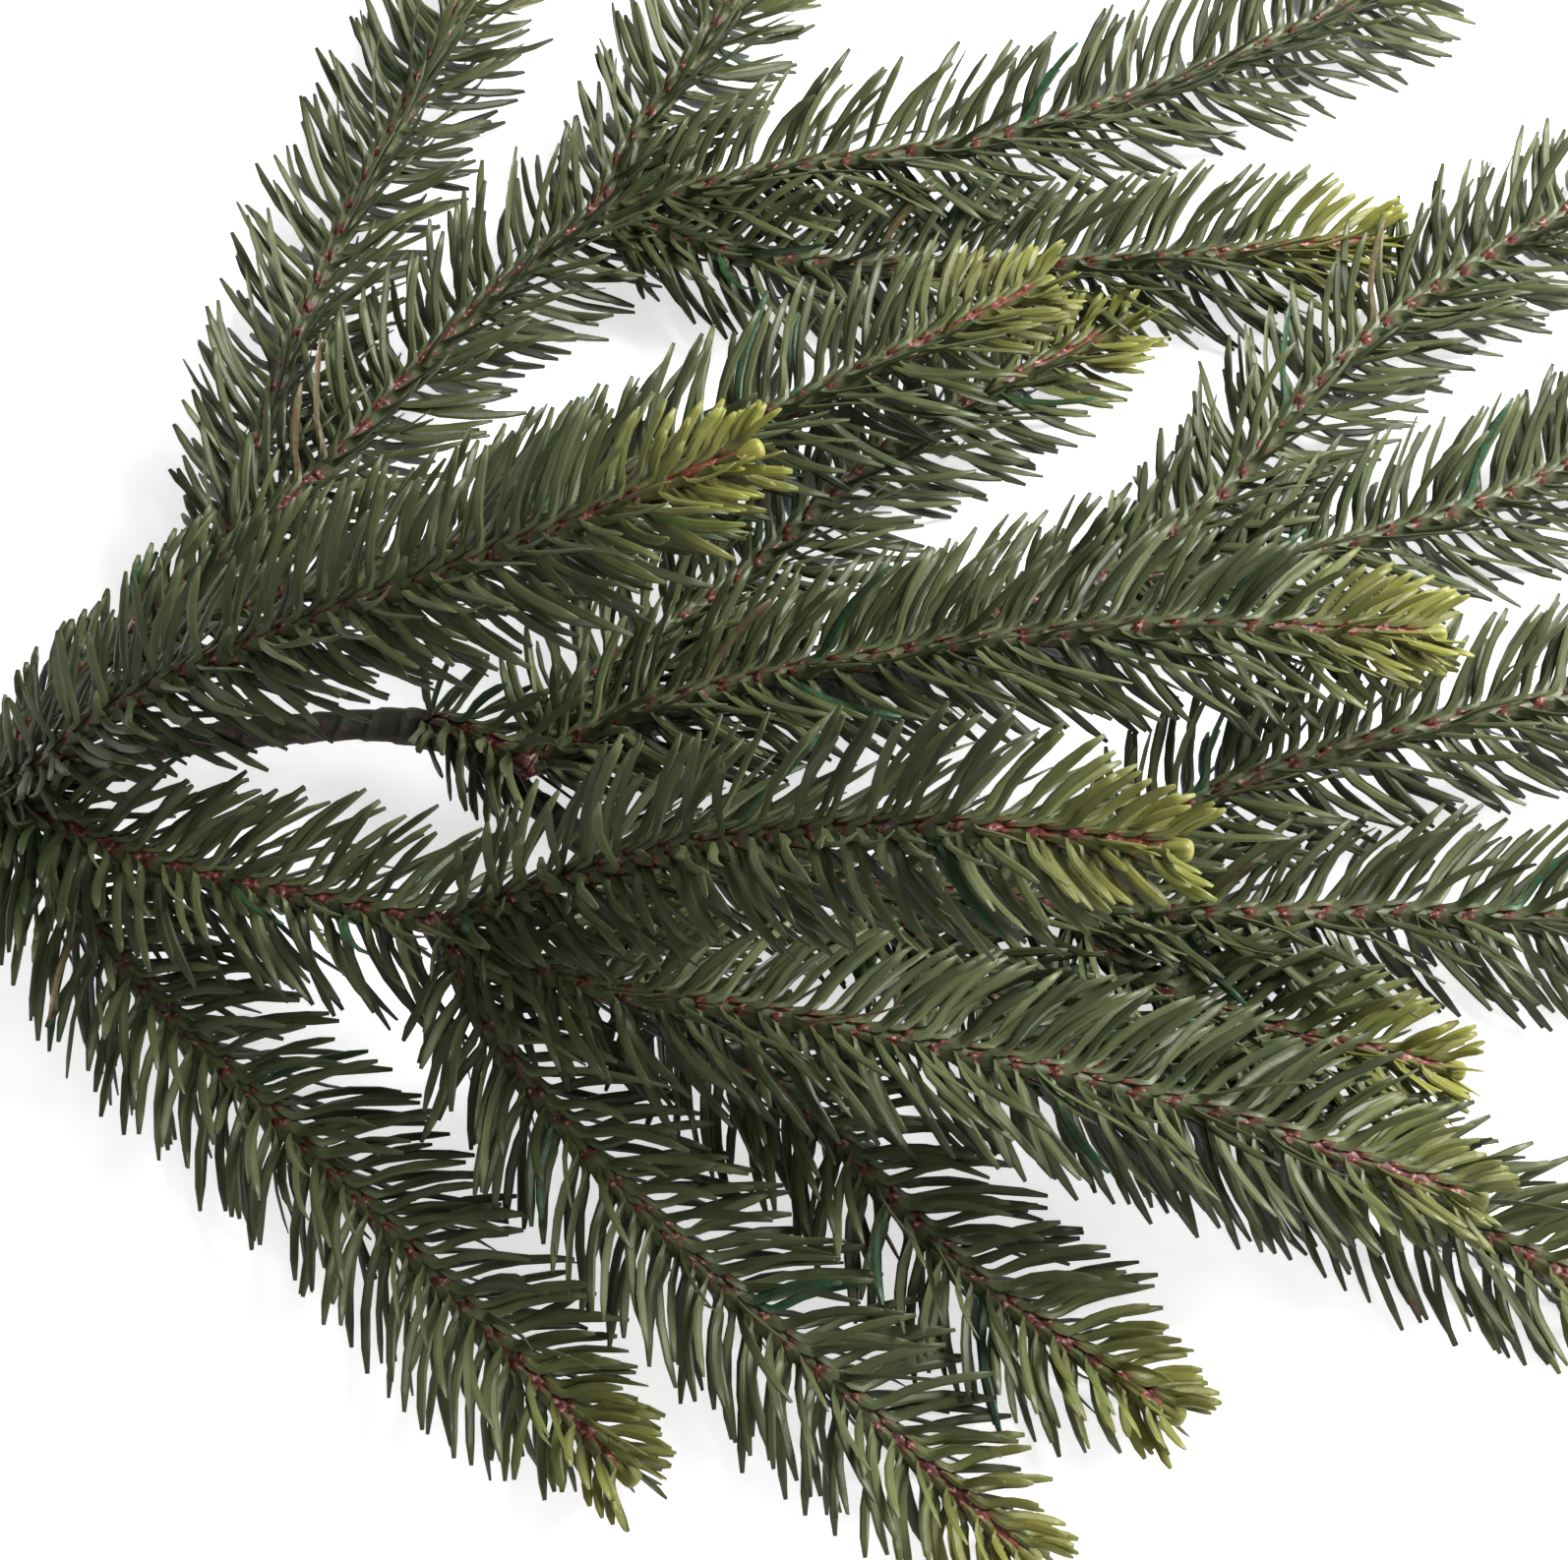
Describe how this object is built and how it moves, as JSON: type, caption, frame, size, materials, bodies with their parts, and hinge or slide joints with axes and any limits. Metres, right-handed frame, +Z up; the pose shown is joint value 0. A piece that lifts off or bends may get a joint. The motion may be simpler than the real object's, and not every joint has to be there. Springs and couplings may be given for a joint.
{
  "type": "fir branch",
  "caption": "Artificial fir branch with forked, needled twigs on a wrapped stem, made to lie on a flat surface.",
  "frame": {"origin": "on the table, under the middle of the whole branch's box", "axes": "+X along the branch from the cut end of the stem towards the tips, +Y towards the back sprig, +Z up"},
  "size_m": [0.507, 0.4018, 0.1223],
  "materials": {
    "stem_wrap": "dark brown-green crepe paper tape, wound over a stiff rod",
    "stalk_needles": "satin moulded plastic, dark green needles over a reddish brown core",
    "tip_needles": "satin moulded plastic, dark green, turning yellow-green at the bud"
  },
  "bodies": {
    "root": {"stem_lower": "stem_wrap", "stem_middle": "stem_wrap", "stem_upper": "stem_wrap", "front_stalk": "stalk_needles", "front_long_tip": "tip_needles", "front_raised_tip": "tip_needles", "front_low_tip": "tip_needles", "front_lone_tip_high": "tip_needles", "front_lone_tip_low": "tip_needles", "back_stalk": "stalk_needles", "back_inner_stalk": "stalk_needles", "back_middle_tip": "tip_needles", "back_left_tip": "tip_needles", "back_right_tip": "tip_needles", "back_lone_tip_far": "tip_needles", "back_lone_tip_near": "tip_needles", "middle_stalk": "stalk_needles", "middle_inner_stalk": "stalk_needles", "middle_right_tip": "tip_needles", "middle_left_tip": "tip_needles", "middle_lone_tip_high": "tip_needles", "middle_lone_tip_low": "tip_needles", "end_stalk": "stalk_needles", "end_middle_tip": "tip_needles", "end_left_tip": "tip_needles", "end_right_tip": "tip_needles", "end_lone_tip_first": "tip_needles", "end_lone_tip_second": "tip_needles"}
  },
  "joints": []
}
